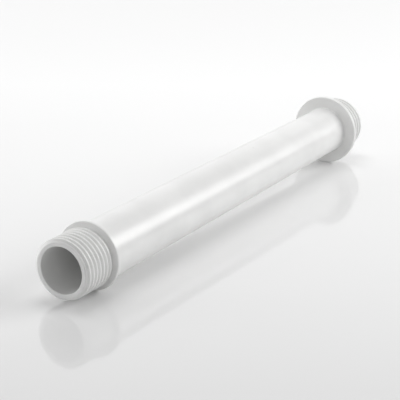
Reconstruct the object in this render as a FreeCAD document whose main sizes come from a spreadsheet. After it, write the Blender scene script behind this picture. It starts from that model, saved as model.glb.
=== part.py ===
import FreeCAD, Part
import math
import os

import Sketcher

# Straight shower arm, injection moulded in white plastic as one piece.
# It lies along X. The origin is the centre of the flange's flat back, which seats on the wall:
# the wall thread points to -X, into the wall, and the water leaves through the outlet at +X.
# The tube and its bore both narrow towards the wall, by the draft that frees them from the mould.

# Name, size in millimetres or degrees, and what it measures.
SIZES = [
    ("thread_major_diameter", 20.3, "crest of both half inch pipe threads, low as moulded crests are"),
    ("thread_pitch", 1.814, "fourteen turns to the inch"),
    ("thread_depth", 0.84, "crest to root, on the radius"),
    ("thread_crest_flat", 0.5, "width left on the crest"),
    ("thread_flank_angle", 27.5, "each flank, from square to the axis"),
    ("thread_first_groove", 1.93, "outlet lip back to its first groove, straight above the axis"),
    ("lip_diameter", 18.0, "flat end face of each threaded end"),
    ("lip_chamfer_angle", 55, "lead-in of each thread, from the axis"),
    ("relief_diameter", 18.3, "plain neck between a thread and its shoulder"),
    ("relief_length", 1.6, "length of that neck"),
    ("wall_thread_length", 11.6, "flange back to the wall lip"),
    ("outlet_thread_length", 14.2, "collar face to the outlet lip"),
    ("flange_diameter", 26.4, "wall flange"),
    ("flange_thickness", 1.7, "wall flange"),
    ("collar_diameter", 23.0, "collar behind the outlet thread"),
    ("collar_thickness", 1.5, "collar behind the outlet thread"),
    ("rim_chamfer", 0.3, "broken edges of the flange and the collar"),
    ("tube_length", 159.1, "flange front to collar back"),
    ("tube_wall_end_diameter", 17.52, "tube where it meets the flange"),
    ("tube_draft", 0.39, "slope of the tube's outside"),
    ("flange_blend_radius", 0.5, "fillet between tube and flange"),
    ("collar_blend_radius", 0.8, "fillet between tube and collar"),
    ("bore_mouth_diameter", 15.54, "waterway at the outlet lip"),
    ("bore_draft", 0.38, "slope of the waterway"),
]

# A cut runs this far past the surface that it opens, so that no two faces coincide.
BORE_OVERRUN = 1.0
THREAD_OVERRUN = 0.08

# The outlet's groove starts this many turns before its first groove, clear of the lip.
LEAD_IN_TURNS = 2

# A blend takes at most this share of the step that it fills, and a rim chamfer of its thickness.
BLEND_SHARE = 0.6
CHAMFER_SHARE = 0.3

# An edge is the wanted one when its station and radius agree to this, in millimetres.
EDGE_MATCH = 1e-4


def half(size):
    """The expression of a radius, from the name of a diameter."""
    return f"sizes.{size} / 2"


# Stations along the axis, from the wall lip to the outlet lip.
WALL_LIP = "-sizes.wall_thread_length"
FLANGE_BACK = "0"
FLANGE_FRONT = "sizes.flange_thickness"
COLLAR_BACK = f"({FLANGE_FRONT} + sizes.tube_length)"
COLLAR_FACE = f"({COLLAR_BACK} + sizes.collar_thickness)"
OUTLET_LIP = f"({COLLAR_FACE} + sizes.outlet_thread_length)"

# Radii that follow from the sizes.
CREST = half("thread_major_diameter")
ROOT = f"({CREST} - sizes.thread_depth)"
TUBE_AT_FLANGE = half("tube_wall_end_diameter")
TUBE_AT_COLLAR = f"({TUBE_AT_FLANGE} + sizes.tube_length * tan(sizes.tube_draft))"
CHAMFER_RUN = f"({CREST} - {half('lip_diameter')}) / tan(sizes.lip_chamfer_angle)"

# Edge forms as they are built, each limited by the wall that carries it.
RIM_CHAMFER = (
    f"min(sizes.rim_chamfer; {CHAMFER_SHARE} * sizes.flange_thickness; {CHAMFER_SHARE} * sizes.collar_thickness)"
)
FLANGE_STEP = f"({half('flange_diameter')} - {TUBE_AT_FLANGE} - {RIM_CHAMFER})"
COLLAR_STEP = f"({half('collar_diameter')} - {TUBE_AT_COLLAR} - {RIM_CHAMFER})"
FLANGE_BLEND = f"min(sizes.flange_blend_radius; {BLEND_SHARE} * {FLANGE_STEP})"
COLLAR_BLEND = f"min(sizes.collar_blend_radius; {BLEND_SHARE} * {COLLAR_STEP})"


def bore_radius(station):
    """The waterway's radius at a station: it narrows from the outlet lip towards the wall."""
    return f"{half('bore_mouth_diameter')} - ({OUTLET_LIP} - ({station})) * tan(sizes.bore_draft)"


def fill_sheet(doc):
    sheet = doc.addObject("Spreadsheet::Sheet", "sizes")
    for row, (name, size, meaning) in enumerate(SIZES, start=1):
        sheet.set(f"A{row}", name)
        sheet.set(f"B{row}", str(size))
        sheet.set(f"C{row}", meaning)
        sheet.setAlias(f"B{row}", name)
    doc.recompute()
    return sheet


def measured(sheet, expression):
    """The value of an expression at the present sizes."""
    return float(sheet.evalExpression(expression))


def origin_part(body, role):
    """One of the body's own origin planes or axes."""
    return next(f for f in body.Origin.OriginFeatures if f.Role == role)


def profile(body, sheet, name, corners):
    """Closed outline on the XZ plane, each corner an (x, z) pair of expressions."""
    sketch = body.newObject("Sketcher::SketchObject", name)
    sketch.AttachmentSupport = [(origin_part(body, "XZ_Plane"), "")]
    sketch.MapMode = "FlatFace"
    points = [FreeCAD.Vector(*(measured(sheet, side) for side in corner)) for corner in corners]
    for start, end in zip(points, points[1:] + points[:1]):
        sketch.addGeometry(Part.LineSegment(start, end))
    for line, (point, corner) in enumerate(zip(points, corners)):
        sketch.addConstraint(Sketcher.Constraint("Coincident", line, 2, (line + 1) % len(points), 1))
        for kind, value, expression in zip(("DistanceX", "DistanceY"), point, corner):
            index = sketch.addConstraint(Sketcher.Constraint(kind, -1, 1, line, 1, value))
            sketch.setExpression(f"Constraints[{index}]", expression)
    return sketch


def add_turned_blank(body, sheet):
    """The whole outside as one turned form, with both threads still plain."""
    outline = profile(body, sheet, "outside_profile", [
        (WALL_LIP, "0"),
        (WALL_LIP, half("lip_diameter")),
        (f"{WALL_LIP} + {CHAMFER_RUN}", CREST),
        ("-sizes.relief_length", CREST),
        ("-sizes.relief_length", half("relief_diameter")),
        (FLANGE_BACK, half("relief_diameter")),
        (FLANGE_BACK, half("flange_diameter")),
        (FLANGE_FRONT, half("flange_diameter")),
        (FLANGE_FRONT, TUBE_AT_FLANGE),
        (COLLAR_BACK, TUBE_AT_COLLAR),
        (COLLAR_BACK, half("collar_diameter")),
        (COLLAR_FACE, half("collar_diameter")),
        (COLLAR_FACE, half("relief_diameter")),
        (f"{COLLAR_FACE} + sizes.relief_length", half("relief_diameter")),
        (f"{COLLAR_FACE} + sizes.relief_length", CREST),
        (f"{OUTLET_LIP} - {CHAMFER_RUN}", CREST),
        (OUTLET_LIP, half("lip_diameter")),
        (OUTLET_LIP, "0"),
    ])
    blank = body.newObject("PartDesign::Revolution", "turned_blank")
    blank.Profile = outline
    blank.ReferenceAxis = (outline, ["H_Axis"])
    blank.Angle = 360
    return blank


def ring_edges(shape, sheet, rings):
    """Names of the circular edges at the given (station, radius) pairs of expressions."""
    wanted = [(measured(sheet, station), measured(sheet, radius)) for station, radius in rings]
    names = []
    for number, edge in enumerate(shape.Edges, start=1):
        curve = edge.Curve
        if not isinstance(curve, Part.Circle):
            continue
        if any(math.dist((curve.Center.x, curve.Radius), ring) < EDGE_MATCH for ring in wanted):
            names.append(f"Edge{number}")
    if len(names) != len(rings):
        raise RuntimeError(f"{len(rings)} ring edges are wanted and {len(names)} were found")
    return names


def dress_edges(body, sheet, base, kind, name, size, rings):
    """Fillets or chamfers the circular edges at the rings; size is a (property, expression) pair."""
    dressed = body.newObject(f"PartDesign::{kind}", name)
    dressed.Base = (base, ring_edges(base.Shape, sheet, rings))
    dressed.setExpression(*size)
    body.Document.recompute()
    return dressed


def add_edge_forms(body, sheet, blank):
    """Breaks the rims of the flange and the collar, and blends both into the tube."""
    flange_rim = half("flange_diameter")
    collar_rim = half("collar_diameter")
    rims = dress_edges(body, sheet, blank, "Chamfer", "broken_rims", ("Size", RIM_CHAMFER), [
        (FLANGE_BACK, flange_rim),
        (FLANGE_FRONT, flange_rim),
        (COLLAR_BACK, collar_rim),
        (COLLAR_FACE, collar_rim),
    ])
    flange_blend = dress_edges(body, sheet, rims, "Fillet", "flange_blend", ("Radius", FLANGE_BLEND), [
        (FLANGE_FRONT, TUBE_AT_FLANGE),
    ])
    dress_edges(body, sheet, flange_blend, "Fillet", "collar_blend", ("Radius", COLLAR_BLEND), [
        (COLLAR_BACK, TUBE_AT_COLLAR),
    ])


def cut_waterway(body, sheet):
    """Bores the tapered waterway through the whole length."""
    start = f"{WALL_LIP} - {BORE_OVERRUN}"
    end = f"{OUTLET_LIP} + {BORE_OVERRUN}"
    outline = profile(body, sheet, "waterway_profile", [
        (start, "0"),
        (start, bore_radius(start)),
        (end, bore_radius(end)),
        (end, "0"),
    ])
    waterway = body.newObject("PartDesign::Groove", "waterway")
    waterway.Profile = outline
    waterway.ReferenceAxis = (outline, ["H_Axis"])
    waterway.Angle = 360


def cut_thread(body, sheet, name, start, towards_wall, travel):
    """Cuts a right-hand groove that enters past the lip and runs out in the neck."""
    flank_slope = "tan(sizes.thread_flank_angle)"
    mouth_half = "(sizes.thread_pitch - sizes.thread_crest_flat) / 2"
    root_half = f"({mouth_half} - sizes.thread_depth * {flank_slope})"
    top_half = f"({mouth_half} + {THREAD_OVERRUN} * {flank_slope})"
    outline = profile(body, sheet, f"{name}_profile", [
        (f"{start} - {root_half}", ROOT),
        (f"{start} + {root_half}", ROOT),
        (f"{start} + {top_half}", f"{CREST} + {THREAD_OVERRUN}"),
        (f"{start} - {top_half}", f"{CREST} + {THREAD_OVERRUN}"),
    ])
    groove = body.newObject("PartDesign::SubtractiveHelix", name)
    groove.Profile = outline
    groove.ReferenceAxis = (outline, ["H_Axis"])
    groove.Mode = "pitch-height-angle"
    groove.Reversed = towards_wall
    groove.LeftHanded = False
    groove.setExpression("Pitch", "sizes.thread_pitch")
    groove.setExpression("Height", travel)


def volume_after(body, cut, *values):
    """Makes a cut and returns the volume left, after a check that the cut took material."""
    before = body.Shape.Volume
    cut(body, *values)
    body.Document.recompute()
    after = body.Shape.Volume
    if after >= before:
        raise RuntimeError(f"{body.Tip.Name} took no material")
    return after


doc = FreeCAD.newDocument("shower_arm")
sheet = fill_sheet(doc)
arm = doc.addObject("PartDesign::Body", "shower_arm")
arm.Label = "shower_arm"

blank = add_turned_blank(arm, sheet)
doc.recompute()
add_edge_forms(arm, sheet, blank)
volume_after(arm, cut_waterway, sheet)

# Each thread starts in the open past its own lip and ends halfway along its neck.
lead_in = f"({LEAD_IN_TURNS} * sizes.thread_pitch - sizes.thread_first_groove)"
outlet_travel = f"sizes.outlet_thread_length + {lead_in} - sizes.relief_length / 2"
volume_after(arm, cut_thread, sheet, "outlet_thread", f"{OUTLET_LIP} + {lead_in}", True, outlet_travel)
wall_travel = "sizes.wall_thread_length + sizes.thread_pitch / 2 - sizes.relief_length / 2"
wall_start = f"{WALL_LIP} - sizes.thread_pitch / 2"
volume = volume_after(arm, cut_thread, sheet, "wall_thread", wall_start, False, wall_travel)

for thing in doc.Objects:
    if {"Invalid", "Error"} & set(thing.State):
        raise RuntimeError(f"{thing.Name} failed: {thing.State}")
if arm.Shape.isNull() or not arm.Shape.isValid() or len(arm.Shape.Solids) != 1:
    raise RuntimeError("the arm is not one valid solid")
os.makedirs("parts", exist_ok=True)
arm.Shape.exportStep("parts/shower_arm.step")
print(f"shower arm: {volume:.1f} cubic millimetres, {len(arm.Shape.Faces)} faces")
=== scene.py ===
# %% [markdown]
# # A straight shower arm in white plastic
#
# The arm is one injection moulding: a tapered tube, a round flange that seats on the wall, a small collar,
# and a half inch pipe thread at each end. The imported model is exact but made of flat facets, so this script
# works the same outside out again as one fine surface, gives it the plastic's finish, and sets it on a
# glossy pale floor.

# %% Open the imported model
import math

import bpy
import numpy as np
from mathutils import Matrix, Vector


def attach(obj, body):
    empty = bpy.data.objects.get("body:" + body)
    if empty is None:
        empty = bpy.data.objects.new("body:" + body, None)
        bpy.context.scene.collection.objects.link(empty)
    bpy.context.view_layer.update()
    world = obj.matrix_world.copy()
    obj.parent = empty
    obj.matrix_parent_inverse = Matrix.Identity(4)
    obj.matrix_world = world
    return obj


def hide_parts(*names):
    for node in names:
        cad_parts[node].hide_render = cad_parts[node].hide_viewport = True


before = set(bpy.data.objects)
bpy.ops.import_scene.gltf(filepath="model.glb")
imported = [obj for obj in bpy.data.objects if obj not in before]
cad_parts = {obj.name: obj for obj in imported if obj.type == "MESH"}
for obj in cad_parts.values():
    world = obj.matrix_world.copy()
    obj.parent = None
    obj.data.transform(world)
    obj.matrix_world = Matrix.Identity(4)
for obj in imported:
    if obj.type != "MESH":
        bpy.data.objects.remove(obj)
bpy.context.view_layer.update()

# %% [markdown]
# ## The sizes
#
# All sizes are in millimetres, in the part's own frame. The axis is X, the origin is the centre of the
# flange's flat back, the wall thread points to -X and the outlet is at +X. The threads are taken as half inch
# pipe threads with 14 turns to the inch, and the rest was measured against them. Their crests are low and
# flat, as moulded crests often are.

# %% Sizes of the moulding
MM = 0.001
CREST = 20.3 / 2
PITCH = 1.814
THREAD_DEPTH = 0.84
CREST_FLAT = 0.5
FLANK_ANGLE = math.radians(27.5)
LIP = 18.0 / 2
LIP_CHAMFER = math.radians(55)
NECK = 18.3 / 2
NECK_LENGTH = 1.6
FLANGE = 26.4 / 2
FLANGE_THICKNESS = 1.7
COLLAR = 23.0 / 2
COLLAR_THICKNESS = 1.5
TUBE_AT_FLANGE = 17.52 / 2
TUBE_LENGTH = 159.1
TUBE_DRAFT = math.radians(0.39)
WALL_STUB = 11.6
OUTLET_STUB = 14.2
BORE_MOUTH = 15.54 / 2
BORE_DRAFT = math.radians(0.38)

# %% Stations along the axis, and what the drafts give
WALL_LIP = -WALL_STUB
COLLAR_BACK = FLANGE_THICKNESS + TUBE_LENGTH
COLLAR_FACE = COLLAR_BACK + COLLAR_THICKNESS
OUTLET_LIP = COLLAR_FACE + OUTLET_STUB
TUBE_AT_COLLAR = TUBE_AT_FLANGE + TUBE_LENGTH * math.tan(TUBE_DRAFT)
BORE_AT_WALL = BORE_MOUTH - (OUTLET_LIP - WALL_LIP) * math.tan(BORE_DRAFT)
print(f"lip to lip {OUTLET_LIP - WALL_LIP:.1f} mm")
print(f"tube {2 * TUBE_AT_FLANGE:.1f} mm across at the flange and {2 * TUBE_AT_COLLAR:.1f} mm at the collar")

# %% [markdown]
# ## The outline
#
# Everything but the threads is turned round one axis, so one closed outline holds it: down the outside from
# the outlet to the wall, and back through the bore. A lathe profile with a screw modifier would turn it
# too, but the threads have to be cut into the same skin, and a surface from a formula can do both at once.
#
# A moulding has no knife edges. Each corner of the outline gets its own small radius, which is what catches
# the thin bright lines along the rims.

# %% Roundings of the corners
BORE_EDGE = 0.20
LIP_EDGE = 0.15
CREST_EDGE = 0.10
NECK_EDGE = 0.15
NECK_FILLET = 0.20
RIM_EDGE = 0.35
COLLAR_FILLET = 0.80
FLANGE_FILLET = 0.50

# %% Corners of the closed outline: station, radius, and the rounding of that corner
SHOULDER_RUN = 0.10
CHAMFER_RUN = (CREST - LIP) / math.tan(LIP_CHAMFER)
OUTLINE = np.array([
    (OUTLET_LIP, BORE_MOUTH, BORE_EDGE),
    (OUTLET_LIP, LIP, LIP_EDGE),
    (OUTLET_LIP - CHAMFER_RUN, CREST, CREST_EDGE),
    (COLLAR_FACE + NECK_LENGTH + SHOULDER_RUN, CREST, CREST_EDGE),
    (COLLAR_FACE + NECK_LENGTH, NECK, NECK_EDGE),
    (COLLAR_FACE, NECK, NECK_FILLET),
    (COLLAR_FACE, COLLAR, RIM_EDGE),
    (COLLAR_BACK, COLLAR, RIM_EDGE),
    (COLLAR_BACK, TUBE_AT_COLLAR, COLLAR_FILLET),
    (FLANGE_THICKNESS, TUBE_AT_FLANGE, FLANGE_FILLET),
    (FLANGE_THICKNESS, FLANGE, RIM_EDGE),
    (0.0, FLANGE, RIM_EDGE),
    (0.0, NECK, NECK_FILLET),
    (-NECK_LENGTH, NECK, NECK_EDGE),
    (-NECK_LENGTH - SHOULDER_RUN, CREST, CREST_EDGE),
    (WALL_LIP + CHAMFER_RUN, CREST, CREST_EDGE),
    (WALL_LIP, LIP, LIP_EDGE),
    (WALL_LIP, BORE_AT_WALL, BORE_EDGE),
])
print("outline corners:", len(OUTLINE))

# %% Round the corners
ARC_STEPS = 7


def rounded(corners):
    """Closed outline with each corner replaced by an arc that touches both of its sides.

    With unit vectors a and b from the corner along its sides, and w the angle between them, an arc of radius
    R touches each side at R / tan(w / 2) from the corner, and its centre lies R / sin(w / 2) along the
    bisector. Its points are centre + (cos of t) * u + (sin of t) * v, where t runs over the turn pi - w.
    """
    place, radius = corners[:, :2], corners[:, 2:3]
    a = np.roll(place, 1, axis=0) - place
    b = np.roll(place, -1, axis=0) - place
    a /= np.linalg.norm(a, axis=1, keepdims=True)
    b /= np.linalg.norm(b, axis=1, keepdims=True)
    w = np.arccos(np.sum(a * b, axis=1, keepdims=True))
    bisector = (a + b) / np.linalg.norm(a + b, axis=1, keepdims=True)
    centre = place + bisector * radius / np.sin(w / 2)
    start = place + a * radius / np.tan(w / 2)
    u = (start - centre) / radius
    v = -a
    t = np.linspace(0, 1, ARC_STEPS)[None, :, None] * (np.pi - w)[:, None, :]
    arc = centre[:, None] + radius[:, None] * (np.cos(t) * u[:, None] + np.sin(t) * v[:, None])
    return arc.reshape(-1, 2)


corner_points = rounded(OUTLINE)
print("points after rounding:", len(corner_points))

# %% [markdown]
# ## Where the rows go
#
# The skin is a grid: rows follow the outline, columns go round the axis. Flat runs need few rows, but the
# threads need one every 0.08 mm or so, and each arc needs a row just before and after it, or the shading of
# the arc would bleed into the flat beside it.

# %% Stations along the outline
THREAD_ROW = 0.08
LONG_ROW = 5.0
HOLD = 0.05
CLOSEST_ROWS = 0.008


def stations(points):
    """Outline points at the wanted distances along it: arcs, their holding rows, and rows at even spacing.

    Distance is the running sum of the sides' lengths, and both coordinates are read off it by linear
    interpolation.
    """
    closed = np.vstack([points, points[:1]])
    along = np.concatenate([[0], np.cumsum(np.linalg.norm(np.diff(closed, axis=0), axis=1))])
    arcs = along[:-1].reshape(-1, ARC_STEPS)
    holding = np.concatenate([arcs[:, 0] - HOLD, arcs[:, -1] + HOLD])
    fine = np.arange(0, along[-1], THREAD_ROW)
    fine_x = np.interp(fine, along, closed[:, 0])
    fine_r = np.interp(fine, along, closed[:, 1])
    in_thread = (fine_r > LIP) & ((fine_x > COLLAR_FACE + NECK_LENGTH) | (fine_x < -NECK_LENGTH))
    wanted = np.concatenate([along[:-1], holding, fine[in_thread], np.arange(0, along[-1], LONG_ROW)])
    wanted = np.unique(np.round(wanted % along[-1], 4))
    wanted = wanted[np.diff(wanted, prepend=-1) > CLOSEST_ROWS]
    return np.interp(wanted, along, closed[:, 0]), np.interp(wanted, along, closed[:, 1])


row_x, row_r = stations(corner_points)
print("rows:", len(row_x))

# %% [markdown]
# ## The threads
#
# A pipe thread is a groove with sloping flanks that winds round the end, 1.814 mm further along with each
# turn. A helix swept through the solid would make it, and so would a height taken off the skin. The second
# is used, because crest and root then get their small radii from the same formula. Both threads are
# right-hand: going from the top towards +Y, a crest moves towards the wall.

# %% Depth of the groove
COLUMNS = 168
EDGE_SOFTNESS = 0.05


def groove_depth(x, angle, first):
    """Depth of a right-hand groove below the crest, in millimetres.

    The groove's centre lies at first - PITCH * angle / (2 pi), and again each PITCH further on. A wedge of
    flanks rises from zero at the mouth's edge as (half the mouth - distance) / tan(flank angle). It is
    clipped between zero and the full depth with softened corners, where soft(w), which is
    (w + sqrt(w * w + s * s)) / 2, stands for max(w, 0).
    """
    def soft(w):
        return (w + np.sqrt(w * w + EDGE_SOFTNESS ** 2)) / 2

    turn = (x - first) / PITCH + angle / (2 * np.pi)
    distance = np.abs(turn - np.round(turn)) * PITCH
    wedge = ((PITCH - CREST_FLAT) / 2 - distance) / np.tan(FLANK_ANGLE)
    return soft(THREAD_DEPTH - soft(THREAD_DEPTH - wedge))


# %% Grid of the whole surface, with the first groove at the top that far behind each lip
OUTLET_FIRST_GROOVE = 1.93
WALL_FIRST_GROOVE = PITCH / 2


def arm_surface(x, r):
    """Grid of points (x, R sin a, R cos a), where the angle a runs from the top towards +Y.

    R is the outline's radius, and within a thread's stretch the smaller of that and crest - groove depth. So
    the lead-in chamfer and the neck stay as they are where they lie deeper than the groove.
    """
    angle = np.linspace(0, 2 * np.pi, COLUMNS, endpoint=False)[None, :]
    x, r = x[:, None], r[:, None]
    outlet = CREST - groove_depth(x, angle, OUTLET_LIP - OUTLET_FIRST_GROOVE)
    wall = CREST - groove_depth(x, angle, WALL_LIP + WALL_FIRST_GROOVE)
    mid_neck = NECK_LENGTH / 2
    radius = np.where(x > COLLAR_FACE + mid_neck, np.minimum(r, outlet), r + 0 * angle)
    radius = np.where(x < -mid_neck, np.minimum(r, wall), radius)
    return np.stack([x + 0 * angle, radius * np.sin(angle), radius * np.cos(angle)], axis=-1)


grid = arm_surface(row_x, row_r)
print("grid:", grid.shape[:2])
print("reach, mm:", grid.min(axis=(0, 1)).round(2), grid.max(axis=(0, 1)).round(2))

# %% [markdown]
# ## From grid to mesh
#
# Both directions of the grid close on themselves, like a ring doughnut, so there is no seam and no pole.
# The corner order of each face decides which way it looks. The volume that the faces enclose comes out
# positive when they look outwards, which is a quick and certain test.

# %% Faces of a closed grid


def ring_faces(rows, columns):
    """Corner numbers of all faces of a grid that closes both ways, seen from outside."""
    i, j = np.meshgrid(np.arange(rows), np.arange(columns), indexing="ij")
    here, next_row = i * columns, (i + 1) % rows * columns
    next_column = (j + 1) % columns
    faces = np.stack([here + j, here + next_column, next_row + next_column, next_row + j], axis=-1)
    return faces.reshape(-1, 4)


arm_faces = ring_faces(*grid.shape[:2])
print("faces:", len(arm_faces))

# %% An object from points and faces


def mesh_object(name, points, faces):
    """A smooth shaded object with its place in its mesh."""
    mesh = bpy.data.meshes.new(name)
    mesh.vertices.add(len(points))
    mesh.vertices.foreach_set("co", points.ravel())
    mesh.loops.add(faces.size)
    mesh.loops.foreach_set("vertex_index", faces.ravel().astype(np.int32))
    mesh.polygons.add(len(faces))
    mesh.polygons.foreach_set("loop_start", np.arange(0, faces.size, faces.shape[1], dtype=np.int32))
    mesh.polygons.foreach_set("use_smooth", np.ones(len(faces), dtype=bool))
    mesh.update(calc_edges=True)
    mesh.validate()
    made = bpy.data.objects.new(name, mesh)
    bpy.context.scene.collection.objects.link(made)
    return made


arm_points = grid.reshape(-1, 3) * MM
arm = mesh_object("moulded_arm", arm_points, arm_faces)
print("arm:", 2 * len(arm_faces), "triangles")

# %% Which way the faces look


def enclosed_volume(points, faces):
    """Sum over the faces' triangles of (a x b) . c / 6."""
    triangles = np.concatenate([faces[:, [0, 1, 2]], faces[:, [0, 2, 3]]])
    a, b, c = (points[triangles[:, k]] for k in range(3))
    return np.sum(np.cross(a, b) * c) / 6


print("plastic enclosed:", round(enclosed_volume(arm_points, arm_faces) / MM ** 3), "cubic mm")

# %% [markdown]
# ## The plastic
#
# The arm is taken to be white ABS, injection moulded in a polished tool. ABS has an IOR near 1.53 and a gloss
# that is soft rather than wet. Moulding leaves two marks that the eye reads as plastic: a faint waviness
# where the wall shrank as it cooled, and a very fine grain that breaks up the edge of each highlight. A real
# grain is finer still, and it is drawn at a third of a millimetre so that it shows at all. The white varies
# by a few levels in soft patches, which keeps it from looking like a flat fill.
#
# A little light soaks a millimetre or two into white plastic and comes out beside where it went in. It
# could be left out on a thick block, but here it takes the hardness off the thread's grooves and lifts the
# dark of the thin bore.

# %% Helpers for colours and pattern scales


def linear(code):
    """Linear colour with alpha from an sRGB hex code.

    Each channel c is ((c + 0.055) / 1.055) ** 2.4, and c / 12.92 at the dark end.
    """
    c = np.array([int(code[k:k + 2], 16) for k in (1, 3, 5)]) / 255
    return (*np.where(c > 0.04045, ((c + 0.055) / 1.055) ** 2.4, c / 12.92).tolist(), 1.0)


def per_mm(size):
    """Scale of a pattern on Object coordinates whose features are about that many millimetres."""
    return 1 / (size * MM)


print("a mid grey, #808080, as linear:", [round(c, 3) for c in linear("#808080")])

# %% Helpers for materials


def add(tree, kind, settings=None, links=None):
    """Adds a node. Settings go to its sockets or, failing that, to its properties; links feed its inputs."""
    node = tree.nodes.new(kind)
    for name, value in (settings or {}).items():
        if isinstance(name, int) or name in node.inputs:
            node.inputs[name].default_value = value
        else:
            setattr(node, name, value)
    for name, source in (links or {}).items():
        tree.links.new(source, node.inputs[name])
    return node


def new_material(name):
    """A material and its emptied node tree."""
    material = bpy.data.materials.new(name)
    material.use_nodes = True
    material.node_tree.nodes.clear()
    return material, material.node_tree


abs_white, tree = new_material("moulded_white_abs")
print("material:", abs_white.name)

# %% The white of the ABS, a shade darker in soft patches
PLASTIC_WHITE = "#EFEFEE"
PLASTIC_SHADE = "#E9E9E8"
TONE_PATCH_MM = 14.0

place = add(tree, "ShaderNodeTexCoord").outputs["Object"]
tone = add(tree, "ShaderNodeTexNoise", {"Scale": per_mm(TONE_PATCH_MM), "Detail": 2.0}, {"Vector": place})
white = add(tree, "ShaderNodeValToRGB", links={"Fac": tone.outputs["Fac"]})
shade_stop, white_stop = white.color_ramp.elements
shade_stop.position, shade_stop.color = 0.35, linear(PLASTIC_SHADE)
white_stop.position, white_stop.color = 0.65, linear(PLASTIC_WHITE)
print("white as linear:", [round(c, 3) for c in linear(PLASTIC_WHITE)])

# %% Its gloss, its shrink waves and its grain
GLOSS_PATCH_MM = 4.0
ROUGHEST, GLOSSIEST = 0.32, 0.26
SHRINK_WAVE_MM, SHRINK_WAVE_HEIGHT_MM = 9.0, 0.012
GRAIN_MM, GRAIN_HEIGHT_MM = 0.35, 0.005

gloss = add(tree, "ShaderNodeTexNoise", {"Scale": per_mm(GLOSS_PATCH_MM), "Detail": 3.0}, {"Vector": place})
roughness = add(tree, "ShaderNodeMapRange", {"To Min": GLOSSIEST, "To Max": ROUGHEST}, {
    "Value": gloss.outputs["Fac"],
})
wave = add(tree, "ShaderNodeTexNoise", {"Scale": per_mm(SHRINK_WAVE_MM), "Detail": 1.0}, {"Vector": place})
grain = add(tree, "ShaderNodeTexNoise", {"Scale": per_mm(GRAIN_MM), "Detail": 2.0}, {"Vector": place})
wavy = add(tree, "ShaderNodeBump", {"Strength": 0.10, "Distance": SHRINK_WAVE_HEIGHT_MM * MM}, {
    "Height": wave.outputs["Fac"],
})
grainy = add(tree, "ShaderNodeBump", {"Strength": 0.05, "Distance": GRAIN_HEIGHT_MM * MM}, {
    "Height": grain.outputs["Fac"],
    "Normal": wavy.outputs["Normal"],
})
print("grain:", GRAIN_MM, "mm")

# %% The finished plastic, on the arm
ABS_IOR = 1.53
SOAK_MM = 1.5
SOAK_SHARE = 0.04

soak = {
    "Subsurface Weight": SOAK_SHARE,
    "Subsurface Radius": (1.0, 1.0, 1.0),
    "Subsurface Scale": SOAK_MM * MM,
}
surface = add(tree, "ShaderNodeBsdfPrincipled", {"IOR": ABS_IOR, **soak}, {
    "Base Color": white.outputs["Color"],
    "Roughness": roughness.outputs["Result"],
    "Normal": grainy.outputs["Normal"],
})
add(tree, "ShaderNodeOutputMaterial", links={"Surface": surface.outputs["BSDF"]})
arm.data.materials.append(abs_white)

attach(arm, "root")
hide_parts("shower_arm")
print("plastic nodes:", len(tree.nodes))

# %% [markdown]
# ## The floor
#
# The arm rests on two points, the bottom of the flange's rim and the bottom of the smaller collar's rim, so
# its axis is not quite level. In the part's frame the axis stays exactly along X and the floor carries the
# slope instead, 0.6 degrees. It is a polished pale sheet: a mirror image hangs under the arm, crisp where the
# arm nearly touches the sheet and softer further from it, and a shadow gathers between the two.
#
# In the photograph the floor runs from a light grey near the camera to white behind the arm. That run is a
# fall of light, and it is painted into the sheet's white here instead, because more lamps would change the
# light on the arm too. So the colour ramp along the floor is painted light, and its six tones were set by
# comparing render and photograph.

# %% Lay the floor
FLANGE_FOOT = Vector((FLANGE_THICKNESS - RIM_EDGE, 0, -FLANGE))
COLLAR_FOOT = Vector((COLLAR_FACE - RIM_EDGE, 0, -COLLAR))
FLOOR_SIZE = 2600.0

floor_slope = math.atan2(COLLAR_FOOT.z - FLANGE_FOOT.z, COLLAR_FOOT.x - FLANGE_FOOT.x)
along_floor = Vector((math.cos(floor_slope), 0, math.sin(floor_slope)))
across_floor = Vector((0, 1, 0))
floor_up = along_floor.cross(across_floor)
floor_middle = (FLANGE_FOOT + COLLAR_FOOT) / 2
half = FLOOR_SIZE / 2
floor_corners = np.array([
    floor_middle + along_floor * a * half + across_floor * b * half
    for a, b in ((-1, -1), (1, -1), (1, 1), (-1, 1))
])
floor = mesh_object("floor", floor_corners * MM, np.array([[0, 1, 2, 3]]))
print(f"floor slope {math.degrees(floor_slope):.2f} degrees")

# %% Pale polished sheet: painted light falloff in its white along the floor, each tone with its place in millimetres
TONES_RUN_TOWARDS = (-0.85, -0.526, 0.0)
FIRST_TONE_MM, LAST_TONE_MM = -240.0, 320.0
# Painted light: the floor's colour runs from grey in front to white behind, standing in for the fall of
# light.
PAINTED_FLOOR_FALLOFF = (
    (-213, "#E7E7E7"),
    (-134, "#EEEEEE"),
    (-55, "#F0F0F0"),
    (52, "#F4F4F4"),
    (121, "#FAFAFA"),
    (308, "#F7F7F7"),
)

floor_material, tree = new_material("pale_glossy_floor")
place = add(tree, "ShaderNodeTexCoord").outputs["Object"]
depth = add(tree, "ShaderNodeVectorMath", {"operation": "DOT_PRODUCT", 1: TONES_RUN_TOWARDS}, {0: place})
reach = add(tree, "ShaderNodeMapRange", {"From Min": FIRST_TONE_MM * MM, "From Max": LAST_TONE_MM * MM}, {
    "Value": depth.outputs["Value"],
})
painted_falloff_ramp = add(tree, "ShaderNodeValToRGB", links={"Fac": reach.outputs["Result"]})
while len(painted_falloff_ramp.color_ramp.elements) < len(PAINTED_FLOOR_FALLOFF):
    painted_falloff_ramp.color_ramp.elements.new(1.0)
for stop, (far, code) in zip(painted_falloff_ramp.color_ramp.elements, PAINTED_FLOOR_FALLOFF):
    stop.position = (far - FIRST_TONE_MM) / (LAST_TONE_MM - FIRST_TONE_MM)
    stop.color = linear(code)
print("floor tones:", len(painted_falloff_ramp.color_ramp.elements))

# %% Its polish
FLOOR_FINISH = {"Roughness": 0.07, "IOR": 1.5}

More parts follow.
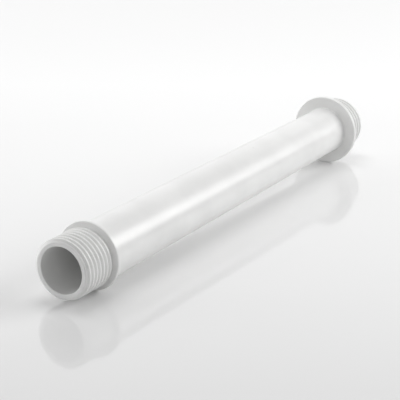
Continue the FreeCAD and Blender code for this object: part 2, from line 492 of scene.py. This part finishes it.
surface = add(tree, "ShaderNodeBsdfPrincipled", FLOOR_FINISH, {"Base Color": painted_falloff_ramp.outputs["Color"]})
add(tree, "ShaderNodeOutputMaterial", links={"Surface": surface.outputs["BSDF"]})
floor.data.materials.append(floor_material)
print("floor nodes:", len(tree.nodes))

# %% [markdown]
# ## Camera
#
# The viewpoint was worked out from the picture itself: the two round rims, the bore, the straight sides of
# the tube and the evenly spaced crests fix where the camera stood and how long its lens was. It looks down
# at about 19 degrees and isn't tilted sideways.

# %% Set up the camera
CAMERA_PLACE = Vector((531.66, 269.78, 177.10))
CAMERA_LOOKS = Vector((-0.80326, -0.49682, -0.32857))
SENSOR_MM = 36.0
LENS_MM = 140.55
NEAREST_SEEN_MM = 10.0

camera = bpy.data.objects.new("camera", bpy.data.cameras.new("camera"))
bpy.context.scene.collection.objects.link(camera)
camera.data.sensor_fit = "HORIZONTAL"
camera.data.sensor_width = SENSOR_MM
camera.data.lens = LENS_MM
camera.data.clip_start = NEAREST_SEEN_MM * MM
back = -CAMERA_LOOKS.normalized()
right = floor_up.cross(back).normalized()
up = back.cross(right)
turned = Matrix((right, up, back)).transposed().to_4x4()
camera.matrix_world = Matrix.Translation(CAMERA_PLACE * MM) @ turned
bpy.context.scene.camera = camera
print(f"camera {math.degrees(math.asin(back.dot(floor_up))):.1f} degrees above the floor")

# %% [markdown]
# ## Light
#
# The arm lies in a bright room with soft boxes round it. Each was placed for one thing that the eye sees:
#
# - "right" and "streak" stand where the tube's side mirrors them, and draw the soft bright line along it.
# - "rear" whitens the polished floor behind the arm, against which the darker mirror image stands out.
# - "low left" reaches under the tube, so that the floor there stays pale beside the shadow. "left" rounds
#   it off.
# - "top" hangs between the two discs. It lights the flange's front face but not the lip, which faces away
#   from it.
# - "front" and the room itself fill the bore and the faces that look at the camera.
#
# The room's own light is one slow gradient, brightest at the front left. A photographed room would do the
# same work, but it would hide which lamp does what.
#
# Light adds up. So each lamp was rendered alone, and the strengths were then chosen together, so that the sum
# of those pictures comes near the photograph.

# %% Soft boxes


def soft_box(name, place, aim, width, height, power):
    """A rectangular lamp at place that faces aim, both in millimetres, its height upright, power in watts."""
    lamp = bpy.data.lights.new(name, "AREA")
    lamp.shape = "RECTANGLE"
    lamp.size = width * MM
    lamp.size_y = height * MM
    lamp.energy = power
    box = bpy.data.objects.new(name, lamp)
    turn = (Vector(aim) - Vector(place)).to_track_quat("-Z", "Y")
    box.matrix_world = Matrix.Translation(Vector(place) * MM) @ turn.to_matrix().to_4x4()
    bpy.context.scene.collection.objects.link(box)


soft_box("rear", (-800, -500, 350), (0, 0, 0), 1200, 700, 2.55)
soft_box("left", (300, -800, 350), (100, 0, 0), 1200, 700, 1.2)
soft_box("low left", (120, -900, 130), (100, 0, 0), 1400, 260, 3.1)
soft_box("front", (800, 400, 500), (80, 0, 0), 800, 600, 0.4)
soft_box("right", (-430, 680, 410), (60, 0, 0), 650, 500, 5.0)
soft_box("top", (60, -60, 420), (60, 0, 0), 160, 300, 0.57)
soft_box("streak", (-600, 490, 250), (110, 0, 0), 300, 420, 0.8)

# %% The room
DARK_SIDE, BRIGHT_SIDE = 0.10, 0.64
TOWARDS_BRIGHT_SIDE = (0.81, -0.58, 0.0)

world = bpy.data.worlds.new("studio")
world.use_nodes = True
tree = world.node_tree
tree.nodes.clear()
direction = add(tree, "ShaderNodeTexCoord").outputs["Generated"]
side = add(tree, "ShaderNodeVectorMath", {"operation": "DOT_PRODUCT", 1: TOWARDS_BRIGHT_SIDE}, {
    0: direction,
})
level = add(tree, "ShaderNodeMapRange", {"From Min": -1.0, "To Min": DARK_SIDE, "To Max": BRIGHT_SIDE}, {
    "Value": side.outputs["Value"],
})
room = add(tree, "ShaderNodeBackground", links={"Strength": level.outputs["Result"]})
add(tree, "ShaderNodeOutputWorld", links={"Surface": room.outputs["Background"]})
bpy.context.scene.world = world
bpy.context.scene.view_settings.view_transform = "Standard"
print("room nodes:", len(tree.nodes))
